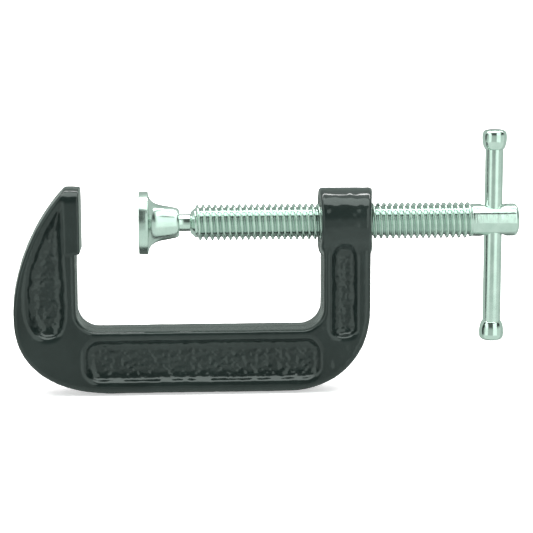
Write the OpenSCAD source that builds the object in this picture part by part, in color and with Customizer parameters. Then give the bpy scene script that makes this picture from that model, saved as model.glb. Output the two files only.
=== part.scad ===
// C clamp, 2 inch opening: a cast frame, a rolled 3/8 inch screw with a crimped swivel pad,
// and a sliding T handle with two pressed-on end caps.
//
// Millimetres. The origin is the middle of the anvil's face, on the screw's axis. +X runs along
// the screw towards the handle, and +Z points away from the spine.

/* [Frame casting] */
// Width of the casting's rims, front to back
frame_w = 12; // [10:0.5:13]
// From the screw's axis down to the spine's inner face
throat_depth = 27.8; // [24:0.2:34]
// Height of the spine
spine_h = 17; // [15:0.5:20]
// From the anvil's face to the inner face of the upright
upright_x = 63.2; // [62.6:0.1:64]
// Thickness of the upright along the screw
upright_t = 12.9; // [11:0.1:13]
// How far the tip of the jaw stands above the screw's axis
jaw_top = 9.8; // [8:0.2:11]
// Width of the flat tip of the jaw
jaw_tip = 3.8; // [3.5:0.1:5]
// How far the lower jaw bulges out behind the anvil's face
jaw_bulge = 18; // [16:0.2:20]
// How much the outer edges draw in from the parting plane to the rims
outer_draft = 0.8; // [0.1:0.1:1.2]
// How deep each side pocket is
pocket_depth = 2.4; // [1:0.1:3.5]

/* [Anvil] */
// How far the anvil stands proud of the jaw's inner face
anvil_proud = 1.2; // [0.6:0.1:2]
// How far the anvil reaches below the screw's axis
anvil_down = 7.4; // [6:0.2:9]
// Width of the anvil's face
anvil_w = 12.6; // [10:0.2:13]

/* [Screw boss] */
// Outer radius of the boss
boss_r = 8.6; // [8:0.1:10]
// How far the middle of the boss sits above the screw's axis
boss_rise = 0.3; // [0:0.1:0.6]
// How far the boss stands out of the upright on the anvil's side
boss_lip = 0.9; // [0.6:0.1:1.6]
// Length of the boss at the parting plane
boss_len = 14.2; // [13.6:0.1:15]
// How much the boss's end draws in from the parting plane to its sides, on the anvil's side
boss_draft_in = 0.5; // [0.1:0.1:1.5]
// The same for its end on the handle's side
boss_draft_out = 1.4; // [0.1:0.1:1.6]

/* [Screw] */
// Major diameter of the thread: 3/8 inch
thread_d = 9.525; // [9.4:0.005:9.6]
// Pitch of the thread: 16 to the inch
pitch = 1.5875; // [1.55:0.0125:1.6]
// Radius of the plain blank that the thread is rolled on
blank_r = 4.32; // [4.2:0.01:4.4]
// Radius of the neck between the thread and the ball
neck_r = 2.25; // [2:0.05:2.3]
// Radius of the ball that the pad swivels on
ball_r = 3.1; // [3:0.05:3.2]
// Length of the plain head that carries the handle
head_len = 11.7; // [11:0.1:14]
// From the anvil's face to the far end of the head, as stored
screw_end = 115.1; // [114:0.1:120]

/* [Swivel pad] */
// Gap between the anvil and the pad, as stored
jaw_gap = 15.2; // [12:0.1:20]
// Radius of the pad's disc
pad_r = 8.2; // [7.5:0.1:8.8]
// Thickness of the pad's disc
pad_disc_t = 2.5; // [2:0.1:2.9]
// Length of the pad from its face to its crimped lip
pad_len = 10.6; // [10.4:0.1:11]

/* [Handle] */
// Radius of the sliding bar: 3/16 inch stock
bar_r = 2.38; // [2.2:0.02:2.4]
// Length of bar that shows between the two end caps
bar_show = 45.8; // [40:0.2:50]
// Height of each end cap
cap_h = 5.3; // [4.8:0.1:6]
// Largest radius of each end cap
cap_r = 3.2; // [3:0.02:3.4]
// How far the middle of the handle is slid below the screw's axis
handle_drop = 4.2; // [0:0.1:8]

/* [Hidden] */
$fn = 64;

cast = [0.24, 0.28, 0.27];
zinc = [0.78, 0.84, 0.80];
over = 0.5;                               // how far a cutter runs past what it cuts

spine_z = -throat_depth;                  // inner face of the spine
base_z = spine_z - spine_h;               // flat underside of the spine
outer_x = upright_x + upright_t;          // outer face of the upright
jaw_x = -anvil_proud;                     // inner face of the jaw
throat_fillet = 5.5;                      // radius inside both lower corners of the throat
bulge_z = spine_z + 3.4;                  // height at which the jaw bulges furthest
corner_z = spine_z + 5.2;                 // height at which the outer lower corner ends
corner_x = upright_x - 9.2;               // where the outer lower corner starts
heel_x = 8;                               // where the flat underside starts
half_w = frame_w / 2;
pocket_draft = 1.9;                       // how far a pocket's walls lean in towards its floor
slice = 0.05;                             // thickness of the thin slices that a hull joins

boss_x = upright_x - boss_lip;            // anvil side of the boss at the parting plane
boss_end = boss_x + boss_len;             // handle side of the boss at the parting plane
mouth_depth = 0.9;                        // depth of the countersink at each mouth of the bore
anvil_t = 4.2;                            // thickness of the anvil block
anvil_chamfer = 0.5;

// 60 degree thread. The bore's grooves clear the screw's crests, flanks and roots all round.
thread_r = thread_d / 2;
thread_seg = 20;                          // flats in one turn
facet_loss = 1 - cos(180 / thread_seg);   // how far a flat dips inside its circle
crest_w = pitch / 8;
root_w = pitch / 6;
thread_depth = (pitch - crest_w - root_w) / 2 / tan(30);
root_r = thread_r - thread_depth;
thread_gap = 0.13;                        // clearance in the bore
bore_crest_r = (thread_r + thread_gap) / (1 - facet_loss);
bore_root_r = 4.05;
bore_crest_w = crest_w + 2 * thread_gap / cos(30);
bore_flank_w = (bore_crest_r - bore_root_r) * tan(30);
bore_root_w = pitch - bore_crest_w - 2 * bore_flank_w;
buried_r = 3.7;                           // radius of the thread's two ends, inside plain bar

ball_x = jaw_gap + 6.4;                   // centre of the swivel ball
socket_gap = 0.13;
lip_r = 2.55;                             // radius of the opening in the pad's crimped lip
lip_x = jaw_gap + pad_len;
shoulder_x = lip_x + 2.9;                 // where the neck meets the end of the screw
shoulder_r = 2.7;                         // radius of the small flat on the end of the screw
nose_len = 1.7;                           // length of the rounded end of the screw
nose_r = 3.82;                            // radius of the plain end, which passes through the bore
nose_x = shoulder_x + nose_len + 0.5;     // where the first groove breaks out of the plain end
thread_x = shoulder_x + 1;                // where the thread starts, buried in the plain end
head_x = screw_end - head_len;
thread_turns = ceil((head_x - thread_x) / pitch);
hole_x = screw_end - 6.4;                 // axis of the cross hole that the handle slides in
hole_r = bar_r + 0.22;
hole_flare = 0.9;                         // how much the mouths of the cross hole are opened
flare_depth = 1.1;
head_round = 1.1;                         // radius round the far end of the head

bar_top = bar_show / 2 - handle_drop;     // upper shoulder of the bar, where a cap sits
bar_bottom = bar_top - bar_show;
tenon_r = 1.9;                            // radius of the turned-down ends of the bar
tenon_len = 3.6;
cap_foot_r = bar_r + 0.2;                 // radius of a cap where it meets the bar
cap_round = 1.3;

// --- curves ---------------------------------------------------------------------------------

// The points, after its first, of the curve that leaves a towards b and reaches d from c
function curve(a, b, c, d, n = 12) =
    [for (i = [1:n]) let (t = i / n, s = 1 - t)
        s * s * s * a + 3 * s * s * t * b + 3 * s * t * t * c + t * t * t * d];

// The points of an arc
function arc(centre, r, from, to, n = 10) =
    [for (i = [0:n]) let (a = from + (to - from) * i / n) centre + r * [cos(a), sin(a)]];

// --- threads --------------------------------------------------------------------------------

// A rod along +X, from x0 on, with a right-hand thread of the given number of turns. The thread
// grows out of the plain radius within half a turn of each end. With the same x0, or one that is
// a whole number of pitches away, two rods are in step.
module threaded_rod(x0, turns, top_r, bottom_r, top_w, bottom_w, plain_r) {
    seg = thread_seg;
    last = turns * seg;
    lead = pitch / seg;
    flank_w = (pitch - top_w - bottom_w) / 2;
    profile = [[bottom_w / 2, bottom_r],
               [bottom_w / 2 + flank_w, top_r],
               [bottom_w / 2 + flank_w + top_w, top_r],
               [pitch - bottom_w / 2, bottom_r]];
    rows = [for (k = [1:last - 1]) for (p = profile)
        let (grown = min(1, 2 * k / seg, 2 * (last - k) / seg),
             r = plain_r + (p[1] - plain_r) * grown,
             a = 360 * k / seg)
        [x0 + k * lead + p[0], -r * sin(a), r * cos(a)]];
    near = [for (k = [0:seg - 1])
        [x0, -plain_r * sin(360 * k / seg), plain_r * cos(360 * k / seg)]];
    far = [for (p = near) p + [(turns + 1) * pitch, 0, 0]];
    near_at = 4 * (last - 1);
    far_at = near_at + seg;
    // the corner of the thread at step k and profile point j; the two ends shrink to one point
    at = function (k, j) k == 0 ? near_at : k == last ? far_at : 4 * (k - 1) + j;
    bands = [for (k = [0:last - 1]) for (j = [0:2])
        each [[at(k, j), at(k + 1, j + 1), at(k + 1, j)], [at(k, j), at(k, j + 1), at(k + 1, j + 1)]]];
    grooves = [for (k = [0:last - seg - 1])
        each [[at(k, 3), at(k + 1 + seg, 0), at(k + 1, 3)],
              [at(k, 3), at(k + seg, 0), at(k + 1 + seg, 0)]]];
    near_skirt = [for (k = [0:seg - 1])
        each [[near_at + k, at(k + 1, 0), near_at + (k + 1) % seg],
              [near_at + k, at(k, 0), at(k + 1, 0)]]];
    far_skirt = [for (k = [0:seg - 1])
        each [[far_at + k, far_at + (k + 1) % seg, at(last - seg + k + 1, 3)],
              [far_at + k, at(last - seg + k + 1, 3), at(last - seg + k, 3)]]];
    // where an end has shrunk to a point, the triangles that closed up are left out
    solid = [for (t = concat(bands, grooves, near_skirt, far_skirt))
        if (t[0] != t[1] && t[1] != t[2] && t[2] != t[0]) t];
    near_cap = [[for (k = [0:seg - 1]) near_at + k]];
    far_cap = [[for (k = [seg - 1:-1:0]) far_at + k]];
    polyhedron(concat(rows, near, far), concat(solid, near_cap, far_cap));
}

// What the tap takes out of the boss
module tapped_bore() {
    lead_in = 2 + ceil(mouth_depth / pitch);
    skipped = floor((boss_x - thread_x) / pitch) - lead_in;
    threaded_rod(thread_x + skipped * pitch, ceil(boss_len / pitch) + 2 * lead_in,
                 bore_crest_r, bore_root_r, bore_crest_w, bore_root_w, bore_root_r);
}

// --- frame ----------------------------------------------------------------------------------

// Lays a drawing of the side view, x across and z up, into the plane y = 0 and gives it a width
module side_plate(width) {
    rotate([90, 0, 0])
        linear_extrude(width, center = true)
            children();
}

// The outside of the casting in side view, from the tip of the jaw round to the boss
function outside() =
    let (tip = [-jaw_tip, jaw_top],
         bulge = [-jaw_bulge, bulge_z],
         heel = [heel_x, base_z],
         corner = [corner_x, base_z],
         back = [outer_x, corner_z])
    concat(
        [[jaw_x, jaw_top], tip],
        curve(tip, tip + [-6.8, -6.4], bulge + [0, 13.9], bulge),
        curve(bulge, bulge - [0, 13.6], heel - [15.5, 0], heel),
        [corner],
        curve(corner, corner + [12, 0], back - [0, 14.4], back),
        [[outer_x, 0]]);

// The whole side view: the outside, and the throat with its two fillets
module frame_side() {
    polygon(concat(
        outside(),
        [[upright_x, 0]],
        arc([upright_x - throat_fillet, spine_z + throat_fillet], throat_fillet, 0, -90),
        arc([jaw_x + throat_fillet, spine_z + throat_fillet], throat_fillet, -90, -180)));
}

// The C itself, with draft on its outside and a throat that is square to the rims
module drafted_frame() {
    intersection() {
        side_plate(frame_w) frame_side();
        hull() {
            side_plate(slice) polygon(outside());
            side_plate(frame_w) offset(delta = -outer_draft) polygon(outside());
        }
    }
}

// Round a cornered pocket outline is given by its lowest and highest corners, and a radius
module pocket_plan(lo, hi, r) {
    offset(r, $fn = 32)
        translate(lo + [r, r])
            square([hi[0] - lo[0] - 2 * r, hi[1] - lo[1] - 2 * r]);
}

// The jaw's pocket follows the outer curve to a point beside the anvil
module jaw_pocket_plan(inset) {
    foot_r = 4.9 - inset;
    foot = [-8.7, -24.8];
    peak = [-4.6, 5.6] + inset * [-0.6, -2.6];
    side = [-14.3 + inset, -15.5];
    hull() {
        translate(foot) circle(foot_r, $fn = 32);
        polygon(concat([peak], curve(peak, peak + [-4, -5.4], side + [0, 7], side, 8)));
    }
}

// A pocket with leaning walls: its mouth is the first child and its floor the second
module pocket() {
    rotate([90, 0, 0]) {
        hull() {
            translate([0, 0, half_w]) linear_extrude(over) children(0);
            translate([0, 0, half_w - pocket_depth]) linear_extrude(slice) children(1);
        }
    }
}

module side_pockets() {
    spine_lo = [0.6, spine_z - 14];
    spine_hi = [upright_x - 0.4, spine_z - 2.2];
    up_lo = [upright_x + 2.1, spine_z - 2.4];
    up_hi = [outer_x - 3.6, -6.2];
    lean = [pocket_draft, pocket_draft];
    pocket() {
        pocket_plan(spine_lo, spine_hi, 4.2);
        pocket_plan(spine_lo + lean, spine_hi - lean, 2.8);
    }
    pocket() {
        pocket_plan(up_lo, up_hi, 2.6);
        pocket_plan(up_lo + lean, up_hi - lean, 1.1);
    }
    pocket() {
        jaw_pocket_plan(0);
        jaw_pocket_plan(pocket_draft);
    }
}

module boss() {
    intersection() {
        translate([boss_x - over, 0, boss_rise]) rotate([0, 90, 0])
            cylinder(boss_len + 2 * over, r = boss_r);
        linear_extrude(3 * boss_r, center = true)
            polygon([[boss_x, 0], [boss_x + boss_draft_in, -boss_r - over],
                     [boss_end - boss_draft_out, -boss_r - over], [boss_end, 0],
                     [boss_end - boss_draft_out, boss_r + over], [boss_x + boss_draft_in, boss_r + over]]);
    }
}

module anvil() {
    c = anvil_chamfer;
    top = jaw_top - 0.3;
    side_plate(anvil_w)
        polygon([[-anvil_t, -anvil_down], [-c, -anvil_down], [0, c - anvil_down],
                 [0, top - c], [-c, top], [-anvil_t, top]]);
}

module frame_casting() {
    mouth_r = bore_crest_r + 0.25;
    color(cast)
    difference() {
        union() {
            drafted_frame();
            boss();
            anvil();
        }
        side_pockets();
        mirror([0, 1, 0]) side_pockets();
        tapped_bore();
        translate([boss_x - mouth_depth, 0, 0]) rotate([0, 90, 0])
            cylinder(2 * mouth_depth, r1 = mouth_r + mouth_depth, r2 = mouth_r - mouth_depth);
        translate([boss_end - mouth_depth, 0, 0]) rotate([0, 90, 0])
            cylinder(2 * mouth_depth, r1 = mouth_r - mouth_depth, r2 = mouth_r + mouth_depth);
    }
}

// --- screw ----------------------------------------------------------------------------------

// Turns a profile, given as distances along X and radii, about the X axis
module turned() {
    rotate([0, 90, 0])
        rotate([0, 0, 180])
            rotate_extrude()
                rotate(90)
                    mirror([0, 1])
                        children();
}

module screw() {
    nose = [shoulder_x + nose_len, nose_r];
    color(zinc)
    difference() {
        union() {
            translate([ball_x, 0, 0]) sphere(ball_r);
            translate([ball_x, 0, 0]) rotate([0, 90, 0]) cylinder(shoulder_x + 0.5 - ball_x, r = neck_r);
            turned()
                polygon(concat(
                    [[shoulder_x, 0], [shoulder_x, shoulder_r]],
                    curve([shoulder_x, shoulder_r], [shoulder_x + 0.2, 3.4], nose - [0.8, 0.05], nose, 6),
                    [[nose_x, nose_r], [nose_x, 0]]));
            threaded_rod(thread_x, thread_turns, thread_r, root_r, crest_w, root_w, buried_r);
            turned()
                polygon(concat(
                    [[head_x, 0], [head_x, blank_r]],
                    arc([screw_end - head_round, blank_r - head_round], head_round, 90, 0, 6),
                    [[screw_end, 0]]));
        }
        translate([hole_x, 0, 0]) {
            cylinder(3 * blank_r, r = hole_r, center = true);
            for (up = [0, 1])
                mirror([0, 0, up])
                    translate([0, 0, blank_r - flare_depth])
                        cylinder(2 * flare_depth, r1 = hole_r, r2 = hole_r + 2 * hole_flare);
        }
    }
}

module swivel_pad() {
    chamfer = 0.25;
    neck_x = jaw_gap + pad_disc_t;
    shoulder = [lip_x - 1.5, 4.15];
    color(zinc)
    difference() {
        turned()
            polygon(concat(
                [[jaw_gap, 0], [jaw_gap, pad_r - chamfer], [jaw_gap + chamfer, pad_r],
                 [neck_x - chamfer, pad_r], [neck_x, pad_r - chamfer]],
                curve([neck_x, pad_r - chamfer], [neck_x + 0.6, 5.4], [neck_x + 2.6, 4.6], shoulder, 10),
                curve(shoulder, shoulder + [0.9, -0.15], [lip_x, 3.6], [lip_x, 2.9], 6),
                [[lip_x, 0]]));
        translate([ball_x, 0, 0]) {
            sphere(ball_r + socket_gap);
            rotate([0, 90, 0]) cylinder(pad_len, r = lip_r);
        }
    }
}

// --- handle ---------------------------------------------------------------------------------

module handle_bar() {
    color(zinc)
    translate([hole_x, 0, 0]) {
        translate([0, 0, bar_bottom]) cylinder(bar_show, r = bar_r);
        translate([0, 0, bar_bottom - tenon_len]) cylinder(bar_show + 2 * tenon_len, r = tenon_r);
    }
}

// One pressed-on end cap, standing on the shoulder of the bar at z = 0
module end_cap() {
    belly = [cap_r, 0.5 * cap_h];
    rim = [cap_r - 0.12, cap_h - cap_round];
    difference() {
        rotate_extrude()
            polygon(concat(
                [[0, 0], [cap_foot_r, 0]],
                curve([cap_foot_r, 0], [cap_foot_r + 0.35, 0.55], belly - [0, 1.2], belly, 8),
                curve(belly, belly + [0, 0.5], rim - [0, 0.2], rim, 3),
                curve(rim, rim + [-0.1, 0.9], [2.2, cap_h - 0.25], [1.4, cap_h - 0.1], 6),
                [[0, cap_h]]));
        translate([0, 0, -over]) cylinder(over + tenon_len, r = tenon_r);
    }
}

module handle_cap_upper() {
    color(zinc)
    translate([hole_x, 0, bar_top]) end_cap();
}

module handle_cap_lower() {
    color(zinc)
    translate([hole_x, 0, bar_bottom]) mirror([0, 0, 1]) end_cap();
}

// --- output ---------------------------------------------------------------------------------

frame_casting();
screw();
swivel_pad();
handle_bar();
handle_cap_upper();
handle_cap_lower();
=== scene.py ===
"""C clamp: the looks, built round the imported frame. Metres, in the row's own frame.

The casting is a distance field turned into a mesh, so that its fillets, drafted pockets and
pebbled pocket floors are real shape. The screw, pad, bar and caps are fine turned meshes.
"""

import math

import bmesh
import bpy
import numpy as np
from mathutils import Matrix, Vector


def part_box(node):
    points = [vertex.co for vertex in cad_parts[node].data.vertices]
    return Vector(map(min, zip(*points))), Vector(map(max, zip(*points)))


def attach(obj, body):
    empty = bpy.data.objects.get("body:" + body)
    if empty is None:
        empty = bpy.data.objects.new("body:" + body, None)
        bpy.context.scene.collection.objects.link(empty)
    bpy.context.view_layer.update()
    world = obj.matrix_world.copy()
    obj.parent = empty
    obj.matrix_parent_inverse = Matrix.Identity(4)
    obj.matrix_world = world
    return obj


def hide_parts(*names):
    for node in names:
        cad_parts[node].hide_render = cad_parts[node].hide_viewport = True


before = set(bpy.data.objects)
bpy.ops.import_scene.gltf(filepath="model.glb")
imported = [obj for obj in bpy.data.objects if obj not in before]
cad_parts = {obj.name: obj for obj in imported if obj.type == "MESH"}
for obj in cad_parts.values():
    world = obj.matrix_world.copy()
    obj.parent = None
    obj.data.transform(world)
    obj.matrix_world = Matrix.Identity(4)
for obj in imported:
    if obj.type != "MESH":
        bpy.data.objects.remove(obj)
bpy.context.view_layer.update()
scene = bpy.context.scene
MM = 0.001

# The sizes that the looks share with the CAD, in millimetres
HALF_W = 6.0                                      # half the width of the casting's rims
SPINE_Z, BASE_Z = -27.8, -44.8                    # inside and underside of the spine
JAW_X, UPRIGHT_X, OUTER_X = -1.2, 63.2, 76.1      # inside of the jaw, both sides of the upright
JAW_TOP, THROAT_R, ANVIL_T = 9.8, 5.5, 4.2
BOSS_R, BOSS_RISE, BOSS_X0, BOSS_X1 = 8.6, 0.3, 62.3, 76.5
PITCH, THREAD_R, ROOT_R, BLANK_R = 1.5875, 4.7625, 3.79, 4.32
PAD_X, PAD_R, PAD_T, LIP_X, LIP_R = 15.2, 8.2, 2.5, 25.8, 2.55
BALL_X, BALL_R, NECK_R, SOCKET_GAP = 21.6, 3.1, 2.25, 0.13
SHOULDER_X, THREAD_X, HEAD_X, SCREW_END = 28.7, 29.7, 103.4, 115.1
HOLE_X, HOLE_R = 108.7, 2.6
BAR_R, BAR_TOP, BAR_BOTTOM, CAP_H = 2.38, 18.7, -27.1, 5.3

# The looks' own sizes, in millimetres
TIP_ROUND = 4.6                                   # rounds the jaw's tip from its sides to its top
ANVIL_HALF_W, ANVIL_MID_Z, ANVIL_HALF_H = 6.35, 1.1, 8.5
BORE_R, MOUTH_R = 5.02, 5.15                      # the bore behind its thread, and its mouths
SHOULDER_R = 3.28                                 # where the screw's end starts to swell
TENON_R, TENON_L = 1.88, 3.4                      # the bar's turned-down ends
CAP_BORE_R, CAP_BORE_H = 1.9, 3.5


# --- small mesh tools ------------------------------------------------------------------------


def make(name, verts, faces, material, body, replaces=(), normals=None):
    """A smooth-shaded mesh piece, in millimetres, that rides on a body."""
    mesh = bpy.data.meshes.new(name)
    verts = np.asarray(verts, float) * MM
    mesh.vertices.add(len(verts))
    mesh.vertices.foreach_set("co", verts.astype(np.float32).ravel())
    sizes = np.array([len(f) for f in faces])
    flat = np.fromiter((i for f in faces for i in f), np.int32)
    mesh.loops.add(len(flat))
    mesh.loops.foreach_set("vertex_index", flat)
    mesh.polygons.add(len(faces))
    starts = np.concatenate([[0], np.cumsum(sizes)[:-1]])
    mesh.polygons.foreach_set("loop_start", starts.astype(np.int32))
    mesh.polygons.foreach_set("use_smooth", np.ones(len(faces), bool))
    mesh.update(calc_edges=True)
    mesh.validate()
    obj = bpy.data.objects.new(name, mesh)
    scene.collection.objects.link(obj)
    mesh.materials.append(material)
    if normals is not None:
        mesh.normals_split_custom_set_from_vertices([tuple(n) for n in normals])
    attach(obj, body)
    if replaces:
        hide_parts(*replaces)
    return obj


def rounded(points, n):
    """A profile whose corners are rounded: each point is (x, r) or (x, r, fillet radius)."""
    out = []
    for i, p in enumerate(points):
        here = np.array(p[:2], float)
        if len(p) < 3 or i in (0, len(points) - 1):
            out.append(here)
            continue
        a = np.array(points[i - 1][:2], float) - here
        b = np.array(points[i + 1][:2], float) - here
        la, lb = np.linalg.norm(a), np.linalg.norm(b)
        a, b = a / la, b / lb
        half = math.acos(np.clip(a @ b, -1, 1)) / 2
        d = min(p[2] / math.tan(half), 0.48 * la, 0.48 * lb)
        r = d * math.tan(half)
        middle = (a + b) / np.linalg.norm(a + b)
        centre = here + middle * r / math.sin(half)
        u, v = here + a * d - centre, here + b * d - centre
        turn = math.acos(np.clip(u @ v / (r * r), -1, 1))
        for t in (k / n for k in range(n + 1)):
            arc = math.sin((1 - t) * turn) * u + math.sin(t * turn) * v
            out.append(centre + arc / math.sin(turn))
    return out


def smooth_curve(points, n):
    """A smooth open curve through the points (Catmull-Rom), with n steps to each stretch."""
    p = np.array(points, float)
    p = np.vstack([2 * p[0] - p[1], p, 2 * p[-1] - p[-2]])
    out = []
    for i in range(1, len(p) - 2):
        for k in range(n):
            t = k / n
            out.append(0.5 * (2 * p[i] + (p[i + 1] - p[i - 1]) * t
                              + (2 * p[i - 1] - 5 * p[i] + 4 * p[i + 1] - p[i + 2]) * t * t
                              + (3 * p[i] - p[i - 1] - 3 * p[i + 1] + p[i + 2]) * t ** 3))
    out.append(p[-2])
    return out


def bezier(a, b, c, d, n=24):
    """The points of a cubic curve after its first one."""
    a, b, c, d = (np.array(q, float) for q in (a, b, c, d))
    return [(1 - t) ** 3 * a + 3 * (1 - t) ** 2 * t * b + 3 * (1 - t) * t * t * c + t ** 3 * d
            for t in (i / n for i in range(1, n + 1))]


def lathe(profile, steps, axis, at):
    """Turns (distance, radius) points about a line along axis ("x" or "z") through at.
    Points of radius 0 at the ends close the piece."""
    verts, rings = [], []
    for s, r in profile:
        if r < 1e-9:
            rings.append([len(verts)])
            verts.append((s, 0.0, 0.0))
        else:
            rings.append(list(range(len(verts), len(verts) + steps)))
            for k in range(steps):
                a = 2 * math.pi * k / steps
                verts.append((s, r * math.cos(a), r * math.sin(a)))
    faces = []
    for a, b in zip(rings, rings[1:]):
        for k in range(steps):
            j = (k + 1) % steps
            if len(a) == 1 and len(b) == 1:
                continue
            if len(a) == 1:
                faces.append((a[0], b[j], b[k]))
            elif len(b) == 1:
                faces.append((a[k], a[j], b[0]))
            else:
                faces.append((a[k], a[j], b[j], b[k]))
    v = np.array(verts)
    if axis == "z":
        v = v[:, [1, 2, 0]]
    return v + np.array(at, float), faces


# --- distance fields -------------------------------------------------------------------------


class Grid:
    """Evenly spaced sample points over a box, in millimetres."""

    def __init__(self, low, high, step):
        self.low, self.step = np.array(low), step
        count = np.ceil((np.array(high) - self.low) / step).astype(int) + 1
        x, y, z = (self.low[i] + step * np.arange(count[i]) for i in range(3))
        self.plan = np.meshgrid(x, z, indexing="ij")
        self.x, self.y, self.z = x[:, None, None], y[None, :, None], z[None, None, :]
        self.off = np.sqrt(self.y * self.y + 0.01)      # distance off the parting plane, softened
        self.radial = np.sqrt(self.y * self.y + self.z * self.z)
        self.shape = tuple(count)

    def fill(self, field):
        """A field that is the same along some axis, spread over the whole grid."""
        return np.broadcast_to(field, self.shape)


def polygon_distance(px, pz, points):
    """Signed distance from a grid of points to a closed outline, negative inside."""
    p = np.array(points, float)
    q = np.roll(p, -1, axis=0)
    best = np.full(px.shape, 1e9)
    inside = np.zeros(px.shape, bool)
    for (ax, az), (bx, bz) in zip(p, q):
        ex, ez = bx - ax, bz - az
        length = ex * ex + ez * ez
        if length < 1e-12:
            continue
        t = np.clip(((px - ax) * ex + (pz - az) * ez) / length, 0, 1)
        best = np.minimum(best, (px - ax - t * ex) ** 2 + (pz - az - t * ez) ** 2)
        crosses = (az > pz) != (bz > pz)
        if abs(ez) > 1e-12:
            inside ^= crosses & (px < ax + (pz - az) * ex / ez)
    d = np.sqrt(best)
    return np.where(inside, -d, d)


def round_max(a, b, r):
    """Intersection of two fields with a rounded edge."""
    outside = np.hypot(np.maximum(a + r, 0), np.maximum(b + r, 0))
    return outside + np.minimum(np.maximum(a + r, b + r), 0) - r


def round_min(a, b, r):
    """Union of two fields with a fillet."""
    return -round_max(-a, -b, r)


class Noise:
    """Smooth repeatable noise in -1 to 1, about one bump to each unit."""

    def __init__(self, seed):
        self.table = np.random.RandomState(seed).uniform(-1, 1, (32, 32, 32)).astype(np.float32)

    def __call__(self, x, y, z):
        ix, iy, iz = (np.floor(v).astype(int) for v in (x, y, z))
        fx, fy, fz = x - ix, y - iy, z - iz
        fx, fy, fz = (f * f * f * (f * (f * 6 - 15) + 10) for f in (fx, fy, fz))
        total = 0
        for dx in (0, 1):
            for dy in (0, 1):
                for dz in (0, 1):
                    w = (fx if dx else 1 - fx) * (fy if dy else 1 - fy) * (fz if dz else 1 - fz)
                    total = total + w * self.table[(ix + dx) % 32, (iy + dy) % 32, (iz + dz) % 32]
        return total


def surface(field, origin, step):
    """The zero surface of a field sampled on a grid, as vertices, quads and normals.
    One vertex to each cell that the surface crosses, pulled on to the surface."""
    f = field.astype(np.float64)
    inside = f < 0
    nx, ny, nz = f.shape
    corners = np.zeros((nx - 1, ny - 1, nz - 1), np.int8)
    for dx in (0, 1):
        for dy in (0, 1):
            for dz in (0, 1):
                corners += inside[dx:nx - 1 + dx, dy:ny - 1 + dy, dz:nz - 1 + dz]
    cells = np.argwhere((corners > 0) & (corners < 8))
    index = np.full(corners.shape, -1, np.int64)
    index[tuple(cells.T)] = np.arange(len(cells))
    total, count = np.zeros((len(cells), 3)), np.zeros(len(cells))
    for axis in range(3):
        u, v = [a for a in range(3) if a != axis]
        for du in (0, 1):
            for dv in (0, 1):
                lo = cells.copy()
                lo[:, u] += du
                lo[:, v] += dv
                hi = lo.copy()
                hi[:, axis] += 1
                fa, fb = f[tuple(lo.T)], f[tuple(hi.T)]
                cut = (fa < 0) != (fb < 0)
                t = np.where(cut, fa / np.where(cut, fa - fb, 1), 0)
                p = lo.astype(float)
                p[:, axis] += t
                total += np.where(cut[:, None], p, 0)
                count += cut
    verts = total / count[:, None]
    slopes = [g.astype(np.float32) for g in np.gradient(f)]

    def read(grid, p):
        i = np.clip(np.floor(p).astype(int), 0, np.array(grid.shape) - 2)
        w = p - i
        out = 0
        for dx in (0, 1):
            for dy in (0, 1):
                for dz in (0, 1):
                    k = ((w[:, 0] if dx else 1 - w[:, 0]) * (w[:, 1] if dy else 1 - w[:, 1])
                         * (w[:, 2] if dz else 1 - w[:, 2]))
                    out = out + k * grid[i[:, 0] + dx, i[:, 1] + dy, i[:, 2] + dz]
        return out

    for _ in range(3):
        g = np.stack([read(s, verts) for s in slopes], 1)
        move = -(read(f, verts) / np.maximum((g * g).sum(1), 1e-6))[:, None] * g
        verts += np.clip(move, -0.4, 0.4)
    g = np.stack([read(s, verts) for s in slopes], 1)
    normals = g / np.maximum(np.linalg.norm(g, axis=1), 1e-9)[:, None]
    faces = []
    for axis in range(3):
        u, v = (axis + 1) % 3, (axis + 2) % 3
        lo = [slice(None)] * 3
        hi = [slice(None)] * 3
        lo[axis], hi[axis] = slice(0, -1), slice(1, None)
        a, b = inside[tuple(lo)], inside[tuple(hi)]
        for flip, found in ((False, a & ~b), (True, ~a & b)):
            e = np.argwhere(found)
            e = e[(e[:, u] > 0) & (e[:, v] > 0)]
            e = e[(e[:, u] < f.shape[u] - 1) & (e[:, v] < f.shape[v] - 1)]
            quad = []
            for du, dv in ((1, 1), (0, 1), (0, 0), (1, 0)):
                c = e.copy()
                c[:, u] -= du
                c[:, v] -= dv
                quad.append(index[tuple(c.T)])
            quad = np.stack(quad, 1)
            faces.append(quad[:, ::-1] if flip else quad)
    return verts * step + np.array(origin), np.concatenate(faces).tolist(), normals


# --- materials -------------------------------------------------------------------------------


def material(name):
    """A new material with one Principled shader and the object's own coordinates."""
    m = bpy.data.materials.new(name)
    m.use_nodes = True
    nodes, links = m.node_tree.nodes, m.node_tree.links
    nodes.clear()
    out = nodes.new("ShaderNodeOutputMaterial")
    shader = nodes.new("ShaderNodeBsdfPrincipled")
    links.new(shader.outputs["BSDF"], out.inputs["Surface"])
    place = nodes.new("ShaderNodeTexCoord")
    return m, nodes, links, shader, place


def noise_node(nodes, links, place, scale, detail, stretch=None):
    """Noise over the object's own coordinates, in bumps to the metre, stretched along some axes."""
    n = nodes.new("ShaderNodeTexNoise")
    n.inputs["Scale"].default_value = scale
    n.inputs["Detail"].default_value = detail
    if stretch:
        grow = nodes.new("ShaderNodeMapping")
        grow.inputs["Scale"].default_value = stretch
        links.new(place.outputs["Object"], grow.inputs["Vector"])
        links.new(grow.outputs["Vector"], n.inputs["Vector"])
    else:
        links.new(place.outputs["Object"], n.inputs["Vector"])
    return n


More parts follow.
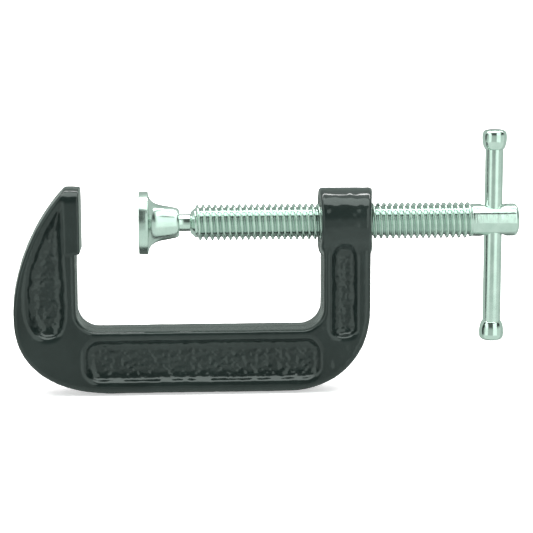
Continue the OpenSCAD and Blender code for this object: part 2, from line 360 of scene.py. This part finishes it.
def spread(nodes, links, value, low, high, from_low=0.3, from_high=0.7):
    """Maps a 0 to 1 value on to a range."""
    r = nodes.new("ShaderNodeMapRange")
    r.inputs["From Min"].default_value = from_low
    r.inputs["From Max"].default_value = from_high
    r.inputs["To Min"].default_value = low
    r.inputs["To Max"].default_value = high
    links.new(value, r.inputs["Value"])
    return r.outputs["Result"]


def mix_colours(nodes, links, share, a, b):
    """Goes from colour a to colour b as share goes from 0 to 1."""
    m = nodes.new("ShaderNodeMix")
    m.data_type = "RGBA"
    for socket, v in ((m.inputs[6], a), (m.inputs[7], b)):
        if isinstance(v, tuple):
            socket.default_value = v
        else:
            links.new(v, socket)
    links.new(share, m.inputs[0])
    return m.outputs[2]


def bump(nodes, links, height, strength, distance, under=None):
    """A bump of a depth in metres, over another one if under is given."""
    b = nodes.new("ShaderNodeBump")
    b.inputs["Strength"].default_value = strength
    b.inputs["Distance"].default_value = distance
    links.new(height, b.inputs["Height"])
    if under is not None:
        links.new(under, b.inputs["Normal"])
    return b.outputs["Normal"]


def enamel():
    """Thick glossy enamel on sand-cast iron: it pools a little and shows the casting under it."""
    m, nodes, links, shader, place = material("enamel")
    cloud = noise_node(nodes, links, place, 90.0, 4.0)
    fine = noise_node(nodes, links, place, 900.0, 3.0)
    tone = mix_colours(nodes, links, spread(nodes, links, cloud.outputs["Fac"], 0.0, 1.0),
                       (0.005, 0.010, 0.009, 1), (0.011, 0.018, 0.0165, 1))
    links.new(tone, shader.inputs["Base Color"])
    links.new(spread(nodes, links, fine.outputs["Fac"], 0.30, 0.42), shader.inputs["Roughness"])
    shader.inputs["Specular IOR Level"].default_value = 0.15
    shader.inputs["Coat Weight"].default_value = 1.0
    shader.inputs["Coat Roughness"].default_value = 0.03
    shader.inputs["Coat IOR"].default_value = 1.48
    low = bump(nodes, links, noise_node(nodes, links, place, 420.0, 2.0).outputs["Fac"], 0.30, 0.00010)
    top = bump(nodes, links, fine.outputs["Fac"], 0.25, 0.00004, low)
    links.new(top, shader.inputs["Normal"])
    links.new(low, shader.inputs["Coat Normal"])
    return m


def machined():
    """Bare ground face, with fine parallel tool marks."""
    m, nodes, links, shader, place = material("machined_face")
    marks = noise_node(nodes, links, place, 300.0, 3.0, (1.0, 1.0, 22.0))
    wear = noise_node(nodes, links, place, 200.0, 3.0)
    tone = mix_colours(nodes, links, spread(nodes, links, wear.outputs["Fac"], 0.0, 1.0),
                       (0.46, 0.49, 0.46, 1), (0.66, 0.70, 0.66, 1))
    links.new(tone, shader.inputs["Base Color"])
    shader.inputs["Metallic"].default_value = 1.0
    links.new(spread(nodes, links, marks.outputs["Fac"], 0.26, 0.42), shader.inputs["Roughness"])
    links.new(bump(nodes, links, marks.outputs["Fac"], 0.3, 0.00003), shader.inputs["Normal"])
    return m


def crest_share(nodes, links, place):
    """1 on the thread's crests, the neck and the ball, falling to 0 in the thread's roots: the mask
    for the shade painted into the roots.
    """
    root, crest = 0.00378, 0.00404
    neck_end, thread_start = 0.0306, 0.0314
    across = nodes.new("ShaderNodeVectorMath")
    across.operation = "MULTIPLY"
    across.inputs[1].default_value = (0.0, 1.0, 1.0)
    links.new(place.outputs["Object"], across.inputs[0])
    radius = nodes.new("ShaderNodeVectorMath")
    radius.operation = "LENGTH"
    links.new(across.outputs["Vector"], radius.inputs[0])
    outward = spread(nodes, links, radius.outputs["Value"], 0.0, 1.0, root, crest)
    place_x = nodes.new("ShaderNodeSeparateXYZ")
    links.new(place.outputs["Object"], place_x.inputs["Vector"])
    before = spread(nodes, links, place_x.outputs["X"], 1.0, 0.0, neck_end, thread_start)
    share = nodes.new("ShaderNodeMath")
    share.operation = "MAXIMUM"
    links.new(outward, share.inputs[0])
    links.new(before, share.inputs[1])
    return share.outputs["Value"]


def plated(name, along, rough, depth, painted_root_shade=False):
    """Bright zinc plate over turned or rolled steel: faint marks run round the piece, along the axes
    other than the given one, under a slightly cloudy plate. On the thread, the roots can be given a
    darker tone as painted shade in the grooves."""
    m, nodes, links, shader, place = material(name)
    stretch = tuple(26.0 if a == along else 1.0 for a in "xyz")
    marks = noise_node(nodes, links, place, 240.0, 3.0, stretch)
    cloud = noise_node(nodes, links, place, 260.0, 4.0)
    speck = noise_node(nodes, links, place, 1500.0, 2.0)
    tone = mix_colours(nodes, links, spread(nodes, links, cloud.outputs["Fac"], 0.0, 1.0),
                       (0.62, 0.73, 0.67, 1), (0.74, 0.84, 0.78, 1))
    # Painted shade: the thread's roots get a darker colour, standing in for the shade in its grooves
    if painted_root_shade:
        share = crest_share(nodes, links, place)
        tone = mix_colours(nodes, links, share, (0.42, 0.50, 0.47, 1), tone)
    links.new(tone, shader.inputs["Base Color"])
    shader.inputs["Metallic"].default_value = 1.0
    links.new(spread(nodes, links, cloud.outputs["Fac"], *rough), shader.inputs["Roughness"])
    first = bump(nodes, links, marks.outputs["Fac"], depth, 0.00004)
    links.new(bump(nodes, links, speck.outputs["Fac"], 0.12, 0.00003, first),
              shader.inputs["Normal"])
    return m


ENAMEL = enamel()
MACHINED = machined()
PLATE_X = plated("plated_steel_head", "x", (0.10, 0.20), 0.22)
PLATE_THREAD = plated("plated_steel_thread", "x", (0.10, 0.18), 0.1, True)
PLATE_PAD = plated("plated_steel_pad", "x", (0.16, 0.28), 0.3)
PLATE_Z = plated("plated_steel_bar", "z", (0.15, 0.26), 0.12)
PLATE_CAP = plated("plated_steel_cap", "z", (0.06, 0.12), 0.08)


# --- the casting -----------------------------------------------------------------------------


def outside_outline():
    """The casting's outer edge at the parting line, from the jaw's tip round to the boss."""
    tip, bulge = (-3.8, JAW_TOP), (-18.0, SPINE_Z + 3.4)
    heel, corner = (8.0, BASE_Z), (UPRIGHT_X - 9.2, BASE_Z)
    back = (OUTER_X, SPINE_Z + 5.2)
    return ([(JAW_X, JAW_TOP), tip]
            + bezier(tip, (-10.6, 3.4), (bulge[0], bulge[1] + 13.9), bulge)
            + bezier(bulge, (bulge[0], bulge[1] - 13.6), (-7.5, BASE_Z), heel)
            + [corner]
            + bezier(corner, (66.0, BASE_Z), (OUTER_X, back[1] - 14.4), back)
            + [(OUTER_X, 0.0)])


def rounded_box(px, pz, x0, x1, z0, z1, r):
    """Signed distance to a rectangle with rounded corners."""
    qx = np.abs(px - (x0 + x1) / 2) - (x1 - x0) / 2 + r
    qz = np.abs(pz - (z0 + z1) / 2) - (z1 - z0) / 2 + r
    return np.hypot(np.maximum(qx, 0), np.maximum(qz, 0)) + np.minimum(np.maximum(qx, qz), 0) - r


def c_shape(g, outer):
    """The C: drafted outside, throat, rounded rims, and a faint ridge along the parting line."""
    open_top = 60.0
    throat = rounded_box(*g.plan, JAW_X, UPRIGHT_X, SPINE_Z, open_top, THROAT_R)[:, None, :]
    ridge = 0.12 * np.exp(-((g.y / 0.35) ** 2))
    outer_draft, throat_draft = 0.085, 0.02
    d = round_max(g.fill(outer + outer_draft * g.off - ridge),
                  g.fill(-throat + throat_draft * g.off - ridge), 0.5)
    rim_round = 1.2
    return round_max(d, g.fill(g.off - HALF_W), rim_round)


def boss(g):
    """The round boss, with drafted ends."""
    left = (BOSS_X0 - g.x) + 0.045 * g.off
    right = (g.x - BOSS_X1) + 0.13 * g.off
    barrel = np.sqrt(g.y * g.y + (g.z - BOSS_RISE) ** 2) - BOSS_R
    return round_max(g.fill(barrel), g.fill(np.maximum(left, right)), 0.9)


def anvil(g, outer):
    """The anvil block, proud of the jaw's inside and of its rims."""
    edge = 0.55
    thick = np.abs(g.x + ANVIL_T / 2) - ANVIL_T / 2
    wide = g.off - ANVIL_HALF_W
    tall = np.abs(g.z - ANVIL_MID_Z) - ANVIL_HALF_H
    block = round_max(round_max(g.fill(thick), g.fill(wide), edge), g.fill(tall), edge)
    return np.maximum(block, g.fill(outer + 0.04 * g.off))


def round_tip(g, d):
    """Rounds the tip of the jaw over, from its sides to its top."""
    arch = round_max(g.fill(g.off - ANVIL_HALF_W), g.fill(g.z - JAW_TOP), TIP_ROUND)
    clear_of_jaw, well_inside = 10.0, -9.0
    return round_max(d, np.where(g.x < clear_of_jaw, arch, well_inside), 0.5)


def jaw_pocket(g):
    """Signed distance to the jaw's pocket, which follows the outside to a point by the anvil."""
    points = [(-4.7, 5.9), (-7.6, 1.9), (-10.0, -2.4), (-12.2, -7.6), (-13.8, -13.0),
              (-14.4, -18.6), (-14.0, -24.2), (-11.9, -28.6), (-8.7, -30.0),
              (-5.5, -28.6), (-4.0, -24.4), (-3.9, -17.0), (-4.3, -8.0), (-4.4, 0.4),
              (-4.7, 5.9)]
    return polygon_distance(*g.plan, smooth_curve(points, 8)[:-1])


def sink_pockets(g, d):
    """The pockets: leaning walls, filleted floors, and a pebbled skin on the floors."""
    pebble, swell = Noise(11), Noise(8)
    lumps = (0.6 * pebble(g.x / 0.72, g.y / 3.0 + 7.3, g.z / 0.72)
             + 0.4 * pebble(g.x / 1.7 + 3.1, g.y / 3.0, g.z / 1.5 + 5.7))
    wobble = 0.24 * swell(g.x / 1.5, g.y / 4.0 + 2.0, g.z / 1.5)
    lump_height, floor_fillet, rim_edge = 0.2, 1.4, 0.9
    spine = rounded_box(*g.plan, 0.6, 62.8, -41.6, -30.0, 4.2)
    upright = rounded_box(*g.plan, 65.3, 72.4, -30.3, -5.8, 2.8)
    # each pocket's plan, its depth, and how far its walls lean in for each millimetre down
    for plan, deep, lean in ((jaw_pocket(g), 2.5, 0.8), (spine, 2.3, 0.65), (upright, 2.3, 0.6)):
        under = HALF_W - g.off
        wall = plan[:, None, :] + lean * under + wobble * np.clip(under / deep, 0, 1)
        wall = wall / math.sqrt(1 + lean * lean)
        floor = (HALF_W - deep) - g.off - lump_height * lumps
        hollow = round_max(g.fill(wall), g.fill(floor), floor_fillet)
        d = round_max(d, -hollow, rim_edge)
    return d


def drill_bore(g, d):
    """The bore, with a countersink at each mouth."""
    sink, reach = 1.0, 1.5
    near = g.radial - MOUTH_R - np.maximum(BOSS_X0 + sink - g.x, 0)
    far = g.radial - MOUTH_R - np.maximum(g.x - BOSS_X1 + sink, 0)
    hole = np.minimum(g.radial - BORE_R, np.minimum(near, far))
    ends = np.maximum(BOSS_X0 - reach - g.x, g.x - BOSS_X1 - reach)
    cut = np.maximum(g.fill(hole), g.fill(ends))
    return round_max(d, -cut, 0.25)


def roughen(g, d):
    """The sand's own unevenness, everywhere but the ground face of the anvil."""
    grain = Noise(5)
    skin = (0.035 * grain(g.x / 1.3, g.y / 1.3, g.z / 1.3)
            + 0.03 * grain(g.x / 4.1 + 9, g.y / 4.1, g.z / 4.1))
    near_face = np.exp(-((g.x / 0.8) ** 2)) * (g.z > ANVIL_MID_Z - ANVIL_HALF_H - 0.2)
    return d + skin * (1 - near_face)


def grind_anvil(obj):
    """Leaves the anvil's face as bare ground metal."""
    obj.data.materials.append(MACHINED)
    centres, facing = (np.zeros(len(obj.data.polygons) * 3, np.float32) for _ in range(2))
    obj.data.polygons.foreach_get("center", centres)
    obj.data.polygons.foreach_get("normal", facing)
    x, _, z = centres.reshape(-1, 3).T / MM
    near, bottom, square_on = 0.4, -7.5, 0.93
    bare = (facing.reshape(-1, 3)[:, 0] > square_on) & (np.abs(x) < near) & (z > bottom)
    obj.data.polygons.foreach_set("material_index", bare.astype(np.int32))


def casting():
    g = Grid((-19.0, -9.7, -46.0), (77.6, 9.7, 11.0), 0.3)
    outer = polygon_distance(*g.plan, outside_outline())[:, None, :]
    d = c_shape(g, outer)
    d = round_min(d, boss(g), 1.0)
    d = round_min(d, anvil(g, outer), 0.4)
    d = round_tip(g, d)
    d = sink_pockets(g, d)
    d = drill_bore(g, d)
    verts, faces, normals = surface(roughen(g, d), g.low, g.step)
    grind_anvil(make("frame_cast", verts, faces, ENAMEL, "frame", ["frame_casting"],
                     normals))


# --- threads ---------------------------------------------------------------------------------


def thread_height(phase, top, bottom, crest=0.17, root=0.15):
    """Radius of a rolled thread at a place along one pitch (0 to 1, crest in the middle)."""
    u = np.abs(phase - np.floor(phase) - 0.5) * 2
    t = np.clip((u - crest) / (1 - crest - root), 0, 1)
    soft = t * t * (3 - 2 * t) * 0.35 + t * 0.65
    return top + (bottom - top) * soft - 0.03 * np.clip(u / crest, 0, 1) ** 2 * (u < crest)


def threaded_rows(x0, x1, steps, per_pitch, radius):
    """Rings of a helical surface whose grid leans with the thread, so every crest is a clean line.
    radius(x, turn) gives the surface. The ends are flat rings."""
    dx = PITCH / per_pitch
    rows = int(round((x1 - x0) / dx))
    k = np.arange(steps)
    rings = []
    for j in range(-per_pitch, rows + 1):
        x = np.clip(x0 + j * dx + k / steps * PITCH, x0, x1)
        rings.append((x, radius(x, k / steps)))
    return rings


def threaded_mesh(rings, n, per_pitch, head, tail):
    """Closes helical rows of n points into a mesh. The seam joins each row to the one a pitch on.
    head and tail are plain (x, r) profiles that lead from the axis to the ends of the thread."""
    verts, faces = [], []
    angle = 2 * np.pi * np.arange(n) / n
    for x, r in rings:
        verts.append(np.stack([x, -r * np.sin(angle), r * np.cos(angle)], 1))
    rows = len(rings)
    for j in range(rows - 1):
        for k in range(n):
            if k < n - 1:
                quad = (j * n + k, j * n + k + 1, (j + 1) * n + k + 1, (j + 1) * n + k)
            else:
                up, up2 = j + per_pitch, j + 1 + per_pitch
                quad = (j * n + k, min(up, rows - 1) * n, min(up2, rows - 1) * n, (j + 1) * n + k)
            faces.append(quad)
    verts = np.concatenate(verts)
    base = len(verts)
    extra = []
    for profile, ring, forward in ((head, 0, True), (tail, rows - 1, False)):
        previous = [ring * n + k for k in range(n)]
        for x, r in profile:
            if r < 1e-9:
                tip = base + len(extra)
                extra.append((x, 0.0, 0.0))
                for k in range(n):
                    a, b = previous[k], previous[(k + 1) % n]
                    faces.append((a, tip, b) if forward else (b, tip, a))
                break
            ring_now = list(range(base + len(extra), base + len(extra) + n))
            extra += [(x, -r * math.sin(t), r * math.cos(t)) for t in angle]
            for k in range(n):
                j = (k + 1) % n
                if forward:
                    faces.append((previous[j], previous[k], ring_now[k], ring_now[j]))
                else:
                    faces.append((previous[k], previous[j], ring_now[j], ring_now[k]))
            previous = ring_now
    return np.concatenate([verts, np.array(extra)]) if extra else verts, faces


def clean(obj):
    """Merges points that fall together, and drops faces that have no area."""
    bm = bmesh.new()
    bm.from_mesh(obj.data)
    bmesh.ops.remove_doubles(bm, verts=bm.verts, dist=2e-6)
    bmesh.ops.dissolve_degenerate(bm, dist=1e-6, edges=bm.edges)
    bmesh.ops.recalc_face_normals(bm, faces=bm.faces)
    for f in bm.faces:
        f.smooth = True
    bm.to_mesh(obj.data)
    bm.free()


def rolled_radius(start):
    """The screw's radius as a function of x and turn: it swells from the shoulder at start to
    the full thread, and the thread fades into the plain head."""
    def radius(x, turn):
        phase = (x - THREAD_X) / PITCH - turn
        r = thread_height(phase, THREAD_R - 0.01, ROOT_R + 0.02)
        grow = np.clip((x - start) / 2.1, 0, 1)
        grow = np.sin(grow * math.pi / 2) ** 0.7
        r = np.minimum(r, SHOULDER_R + (THREAD_R + 0.2 - SHOULDER_R) * grow)
        cone = np.maximum(SHOULDER_R + 0.9 * (x - start), SHOULDER_R)
        r = np.where(x < start + 0.9, np.minimum(r, cone), r)
        fade = np.clip((HEAD_X - 0.2 - x) / (0.9 * PITCH), 0, 1)
        fade = fade * fade * (3 - 2 * fade)
        plain = BLANK_R - 0.05
        return plain + (r - plain) * fade
    return radius


def screw():
    """The ball, the neck and the rolled thread."""
    steps, per_pitch = 64, 14
    start, end = SHOULDER_X + 0.55, HEAD_X + 0.4
    rings = threaded_rows(start, end, steps, per_pitch, rolled_radius(start))
    rings[0] = (np.full(steps, start), rings[0][1])
    ball = [(BALL_X - BALL_R * math.cos(t), BALL_R * math.sin(t))
            for t in np.linspace(0, math.pi - math.asin(NECK_R / BALL_R), 16)]
    face_x, face_r = SHOULDER_X + 0.02, 2.75
    neck = rounded([(ball[-1][0], NECK_R), (SHOULDER_X, NECK_R, 0.25), (face_x, face_r, 0.3),
                    (start, SHOULDER_R)], 4)
    head_side = (ball + neck[1:-1])[::-1]
    v, f = threaded_mesh(rings, steps, per_pitch, head_side, [(end, 0.0)])
    clean(make("screw_rolled", v, f, PLATE_THREAD, "screw", ["screw"]))


def screw_head():
    """The plain head with its drilled and opened-out cross hole."""
    room, side = 0.6, 4.9
    g = Grid((HEAD_X - room, -side, -side), (SCREW_END + room, side, side), 0.13)
    d = round_max(g.fill(g.radial - BLANK_R), g.fill(g.x - SCREW_END), 1.15)
    d = round_max(d, g.fill(HEAD_X - g.x), 0.22)
    across = np.sqrt((g.x - HOLE_X) ** 2 + g.y * g.y)
    flare = 0.62 * np.clip((np.abs(g.z) - 2.5) / 1.7, 0, 1.2) ** 2
    d = round_max(d, -g.fill(across - HOLE_R - flare), 0.38)
    d = d + 0.012 * Noise(21)(g.x / 1.1, g.y / 1.1, g.z / 1.1)
    v, f, normals = surface(d, g.low, g.step)
    make("screw_head", v, f, PLATE_X, "screw", [], normals)


def bore_thread():
    """The tapped thread inside the boss, clear of the screw's."""
    steps, per_pitch = 64, 12
    x0, x1 = BOSS_X0 + 0.55, BOSS_X1 - 0.55
    root_r, crest_r, buried_r = THREAD_R + 0.14, 4.12, 5.3

    def radius(x, turn):
        phase = (x - THREAD_X) / PITCH - turn
        return thread_height(phase, root_r, crest_r, 0.30, 0.08)

    rings = threaded_rows(x0, x1, steps, per_pitch, radius)
    v, f = threaded_mesh(rings, steps, per_pitch, [(x0, buried_r)], [(x1, buried_r)])
    n = len(v)
    first, last = list(range(n - 2 * steps, n - steps)), list(range(n - steps, n))
    for k in range(steps):
        j = (k + 1) % steps
        f.append((first[k], first[j], last[j], last[k]))
    clean(make("bore_thread", v, f, MACHINED, "frame"))


# --- pad, bar and caps -----------------------------------------------------------------------


def plain(profile):
    """The profile as plain pairs of numbers."""
    return [(float(s), float(r)) for s, r in profile]


def swivel_pad():
    """The disc, its bell-shaped shank, and the socket crimped over the ball."""
    disc_x, disc_edge = PAD_X + PAD_T, 7.7
    waist = (PAD_X + 6.6, 4.55)
    collar = (PAD_X + 9.1, 4.1)
    bell = bezier((disc_x, disc_edge), (PAD_X + 2.75, 5.9), (PAD_X + 4.0, 4.95), waist, 14)
    shank = bezier(waist, (PAD_X + 7.8, 4.36), (PAD_X + 8.6, 4.2), collar, 5)
    lip = bezier(collar, (PAD_X + 9.9, 3.95), (LIP_X + 0.02, 3.7), (LIP_X, 3.0), 9)
    socket_r = BALL_R + SOCKET_GAP
    angles = np.linspace(math.asin(LIP_R / socket_r), math.pi, 16)
    cup = [(BALL_X + socket_r * math.cos(t), socket_r * math.sin(t)) for t in angles]
    disc = rounded([(PAD_X, 0.0), (PAD_X, PAD_R, 0.28), (disc_x, PAD_R, 0.3), (disc_x, disc_edge)], 4)
    mouth = rounded([(LIP_X, 3.0), (LIP_X, LIP_R, 0.15), (BALL_X + 1.98, LIP_R)], 3)[1:]
    profile = plain(disc + bell + shank + lip + mouth + cup)
    profile[-1] = (profile[-1][0], 0.0)
    v, f = lathe(profile, 96, "x", (0, 0, 0))
    clean(make("swivel_pad_turned", v, f, PLATE_PAD, "pad", ["swivel_pad"]))


def handle_bar():
    """The bar, with its turned-down ends."""
    low, high, edge = BAR_BOTTOM - TENON_L, BAR_TOP + TENON_L, 0.12
    bar = rounded([(low, 0.0), (low, TENON_R, 0.2), (BAR_BOTTOM, TENON_R), (BAR_BOTTOM, BAR_R, edge),
                   (BAR_TOP, BAR_R, edge), (BAR_TOP, TENON_R), (high, TENON_R, 0.2), (high, 0.0)], 4)
    v, f = lathe(plain(bar), 72, "z", (HOLE_X, 0, 0))
    clean(make("handle_bar_turned", v, f, PLATE_Z, "handle", ["handle_bar"]))


def handle_cap(name, at, way, node):
    """A cap pressed on the bar: a blind hole inside a domed barrel. Its profile goes from the
    bar's shoulder at 0 out to the dome, and way is 1 upwards and -1 downwards."""
    shell = smooth_curve([(0.0, 2.46), (0.15, 2.6), (0.6, 2.84), (1.3, 3.06), (2.2, 3.21), (3.1, 3.25),
                          (3.9, 3.2), (4.45, 3.04), (4.84, 2.72), (5.06, 2.28), (5.19, 1.65),
                          (5.26, 0.9)], 4)
    hole = [(CAP_BORE_H, 0.0), (CAP_BORE_H, CAP_BORE_R), (0.0, CAP_BORE_R)]
    profile = hole + plain(shell) + [(CAP_H - 0.02, 0.0)]
    v, f = lathe([(way * s, r) for s, r in profile], 72, "z", (HOLE_X, 0, at))
    clean(make(name, v, f, PLATE_CAP, "handle", [node]))


# --- stage, camera, lights -------------------------------------------------------------------


def area_light(name, at, aim, size, power, colour=(1, 1, 1)):
    """A rectangle of light at a place, turned towards aim."""
    data = bpy.data.lights.new(name, "AREA")
    data.shape = "RECTANGLE"
    data.size, data.size_y = size
    data.energy = power
    data.color = colour
    obj = bpy.data.objects.new(name, data)
    scene.collection.objects.link(obj)
    obj.location = at
    obj.rotation_mode = "QUATERNION"
    obj.rotation_quaternion = (Vector(aim) - Vector(at)).to_track_quat("-Z", "Y")
    return obj


def stage_paper():
    """Matt white paper, lit a little from within so that shadows on it stay faint."""
    m, nodes, links, shader, place = material("stage_paper")
    grain = noise_node(nodes, links, place, 40.0, 3.0)
    tone = mix_colours(nodes, links, spread(nodes, links, grain.outputs["Fac"], 0.0, 1.0),
                       (0.955, 0.90, 0.925, 1), (0.975, 0.92, 0.945, 1))
    links.new(tone, shader.inputs["Base Color"])
    shader.inputs["Roughness"].default_value = 0.9
    shader.inputs["Specular IOR Level"].default_value = 0.1
    shader.inputs["Emission Color"].default_value = (1.0, 1.0, 1.0, 1)
    shader.inputs["Emission Strength"].default_value = 0.5
    return m


def stage():
    """A pale floor that curves up into a backdrop."""
    half_width, near, far, bend, top = 2.4, -1.6, 0.9, 0.5, 2.2
    floor_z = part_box("frame_casting")[0].z - 0.0001
    section = [(near, 0.0)] + [(far + bend * math.sin(t), bend - bend * math.cos(t))
                               for t in np.linspace(0, math.pi / 2, 16)] + [(far + bend, top)]
    verts = [(side * half_width, y, floor_z + z) for y, z in section for side in (-1, 1)]
    faces = [(2 * i, 2 * i + 1, 2 * i + 3, 2 * i + 2) for i in range(len(section) - 1)]
    mesh = bpy.data.meshes.new("stage_sweep")
    mesh.from_pydata(verts, [], faces)
    for p in mesh.polygons:
        p.use_smooth = True
    obj = bpy.data.objects.new("stage_sweep", mesh)
    scene.collection.objects.link(obj)
    mesh.materials.append(stage_paper())
    obj.visible_glossy = False


def camera():
    """A long lens, a little to the left of the clamp's front and a little above it."""
    azimuth, elevation, roll = (math.radians(a) for a in (3.21, 9.07, -0.14))
    distance, aim = 0.447, Vector((0.04862, 0.0, -0.01187))
    flat = math.cos(elevation)
    forward = Vector((math.sin(azimuth) * flat, math.cos(azimuth) * flat, -math.sin(elevation)))
    right = Vector((math.cos(azimuth), -math.sin(azimuth), 0))
    up = right.cross(forward)
    rolled_right = right * math.cos(roll) + up * math.sin(roll)
    rolled_up = up * math.cos(roll) - right * math.sin(roll)
    data = bpy.data.cameras.new("camera")
    data.lens, data.sensor_width = 114.5, 36.0
    data.clip_start, data.clip_end = 0.01, 20.0
    obj = bpy.data.objects.new("camera", data)
    scene.collection.objects.link(obj)
    turn = Matrix((rolled_right, rolled_up, -forward)).transposed().to_4x4()
    obj.matrix_world = Matrix.Translation(aim - forward * distance) @ turn
    scene.camera = obj


# The studio's greys carry a faint green, and its masks none
GREEN_TINT, NO_TINT = (0.85, 1.0, 0.93), (1, 1, 1)


def ramp(nodes, links, value, stops, tint=GREEN_TINT):
    """A ramp of one tint over a -1 to 1 value. Each stop is (value, brightness)."""
    node = nodes.new("ShaderNodeValToRGB")
    links.new(spread(nodes, links, value, 0.0, 1.0, -1.0, 1.0), node.inputs["Fac"])
    elements = node.color_ramp.elements
    while len(elements) < len(stops):
        elements.new(0.5)
    for element, (at, grey) in zip(elements, stops):
        element.position = (at + 1) / 2
        element.color = (tint[0] * grey, tint[1] * grey, tint[2] * grey, 1)
    return node.outputs["Color"]


def front_room(nodes, links, way):
    """Behind the camera: bright panels to the left and right, a dark gap above, a pale table."""
    low = ramp(nodes, links, way.outputs["X"],
               [(-1, 0.60), (-0.94, 0.60), (-0.90, 1.2), (-0.66, 1.2), (-0.60, 0.58), (0.13, 0.58),
                (0.17, 1.3), (0.68, 1.3), (0.76, 0.78), (1, 0.78)])
    high = ramp(nodes, links, way.outputs["X"],
                [(-1, 0.06), (-0.94, 0.06), (-0.90, 1.5), (-0.66, 1.5), (-0.60, 0.12), (0.12, 0.12),
                 (0.17, 1.5), (0.68, 1.5), (0.76, 0.06), (1, 0.06)])
    rise = ramp(nodes, links, way.outputs["Z"], [(-1, 0), (0.05, 0), (0.27, 1), (1, 1)], NO_TINT)
    walls = mix_colours(nodes, links, rise, low, high)
    above = ramp(nodes, links, way.outputs["Z"],
                 [(-1, 0.85), (-0.25, 0.85), (0.70, 0.08), (0.85, 0.08), (0.90, 0.75), (1, 0.75)])
    level = ramp(nodes, links, way.outputs["Z"],
                 [(-1, 1), (-0.34, 1), (-0.28, 0), (0.68, 0), (0.72, 1), (1, 1)], NO_TINT)
    return mix_colours(nodes, links, level, walls, above)


def back_room(nodes, links, way):
    """Behind the clamp: dim at its horizon, lighter above and to the sides."""
    middle = ramp(nodes, links, way.outputs["Z"],
                  [(-1, 0.60), (-0.965, 0.50), (-0.90, 0.14), (-0.30, 0.14), (0.0, 0.26),
                   (0.35, 0.42), (0.75, 0.62), (1, 0.75)])
    sides = ramp(nodes, links, way.outputs["X"],
                 [(-1, 0.06), (-0.965, 0.06), (-0.93, 0.62), (1, 0.62)])
    aside = ramp(nodes, links, way.outputs["X"],
                 [(-1, 1), (-0.30, 1), (-0.17, 0), (0.17, 0), (0.30, 1), (1, 1)], NO_TINT)
    return mix_colours(nodes, links, aside, middle, sides)


def studio():
    """Soft greys all round, to reflect. Seen directly, past the stage, it is plain white."""
    world = bpy.data.worlds.new("studio")
    scene.world = world
    world.use_nodes = True
    nodes, links = world.node_tree.nodes, world.node_tree.links
    sky = nodes.new("ShaderNodeTexCoord")
    way = nodes.new("ShaderNodeSeparateXYZ")
    links.new(sky.outputs["Generated"], way.inputs["Vector"])
    behind = ramp(nodes, links, way.outputs["Y"], [(-1, 0), (-0.06, 0), (0.06, 1), (1, 1)], NO_TINT)
    whole = mix_colours(nodes, links, behind, front_room(nodes, links, way),
                        back_room(nodes, links, way))
    path = nodes.new("ShaderNodeLightPath")
    seen = mix_colours(nodes, links, path.outputs["Is Camera Ray"], whole, (1.0, 1.0, 1.0, 1))
    links.new(seen, nodes["Background"].inputs["Color"])
    nodes["Background"].inputs["Strength"].default_value = 1.0


def lights():
    """A soft key overhead, a fill that only lights the floor and matt surfaces, and a wash on the
    backdrop."""
    aim, backdrop = (0.045, 0.0, -0.012), (0.05, 1.1, 0.25)
    area_light("key_top", (0.02, -0.13, 0.57), aim, (1.0, 0.32), 2.5, (0.88, 1.0, 0.95))
    fill = area_light("floor_fill", (0.05, -0.10, 0.95), aim, (1.3, 1.3), 5.0)
    fill.visible_glossy = False
    area_light("backdrop_wash", (0.05, 0.25, 0.75), backdrop, (1.4, 0.3), 16.0)


# --- the build -------------------------------------------------------------------------------


casting()
screw()
screw_head()
bore_thread()
swivel_pad()
handle_bar()
handle_cap("cap_upper", BAR_TOP, 1, "handle_cap_upper")
handle_cap("cap_lower", BAR_BOTTOM, -1, "handle_cap_lower")
stage()
camera()
studio()
lights()
scene.view_settings.view_transform = "Standard"
